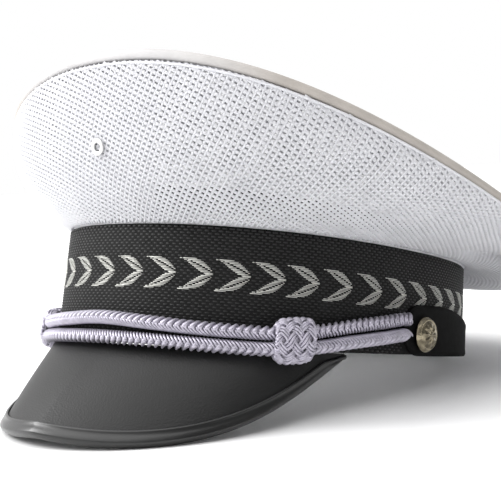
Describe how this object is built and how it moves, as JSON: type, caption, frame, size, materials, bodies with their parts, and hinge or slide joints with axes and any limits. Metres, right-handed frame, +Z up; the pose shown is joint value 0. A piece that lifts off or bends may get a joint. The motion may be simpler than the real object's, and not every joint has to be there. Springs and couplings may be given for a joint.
{
  "type": "peaked sailor cap",
  "caption": "Peaked cap with a white open-mesh crown, black leaf-patterned band, braided cords, side buttons and a black peak, resting on its peak and the back of its band.",
  "frame": {"origin": "under the middle of the cap's overall box, on the surface it rests on", "axes": "+Z up, front of the cap towards -Y, the wearer's left towards +X"},
  "size_m": [0.254, 0.2956, 0.1489],
  "materials": {
    "white_mesh": "open warp-knit mesh, matt",
    "white_stay": "smooth, matt",
    "rim_cloth": "plain, matt",
    "black_weave": "textured weave with silver leaves",
    "headband_cloth": "plain, matt",
    "peak_leather": "fine grain, satin",
    "binding_leather": "smooth, semi-gloss",
    "silver_cord": "braided, soft sheen",
    "strap_cloth": "plain weave, matt",
    "aged_brass": "aged, satin",
    "white_metal": "satin"
  },
  "bodies": {
    "root": {"crown_side": "white_mesh", "crown_top": "white_mesh", "rim_roll": "rim_cloth", "front_stay": "white_stay", "seam_tape": "white_stay", "hat_band": "black_weave", "inner_headband": "headband_cloth", "peak": "peak_leather", "peak_binding": "binding_leather", "cord_upper": "silver_cord", "cord_lower": "silver_cord", "knot_left": "silver_cord", "knot_right": "silver_cord", "back_strap": "strap_cloth", "button_left": "aged_brass", "button_right": "aged_brass", "eyelet": "white_metal"}
  },
  "joints": []
}
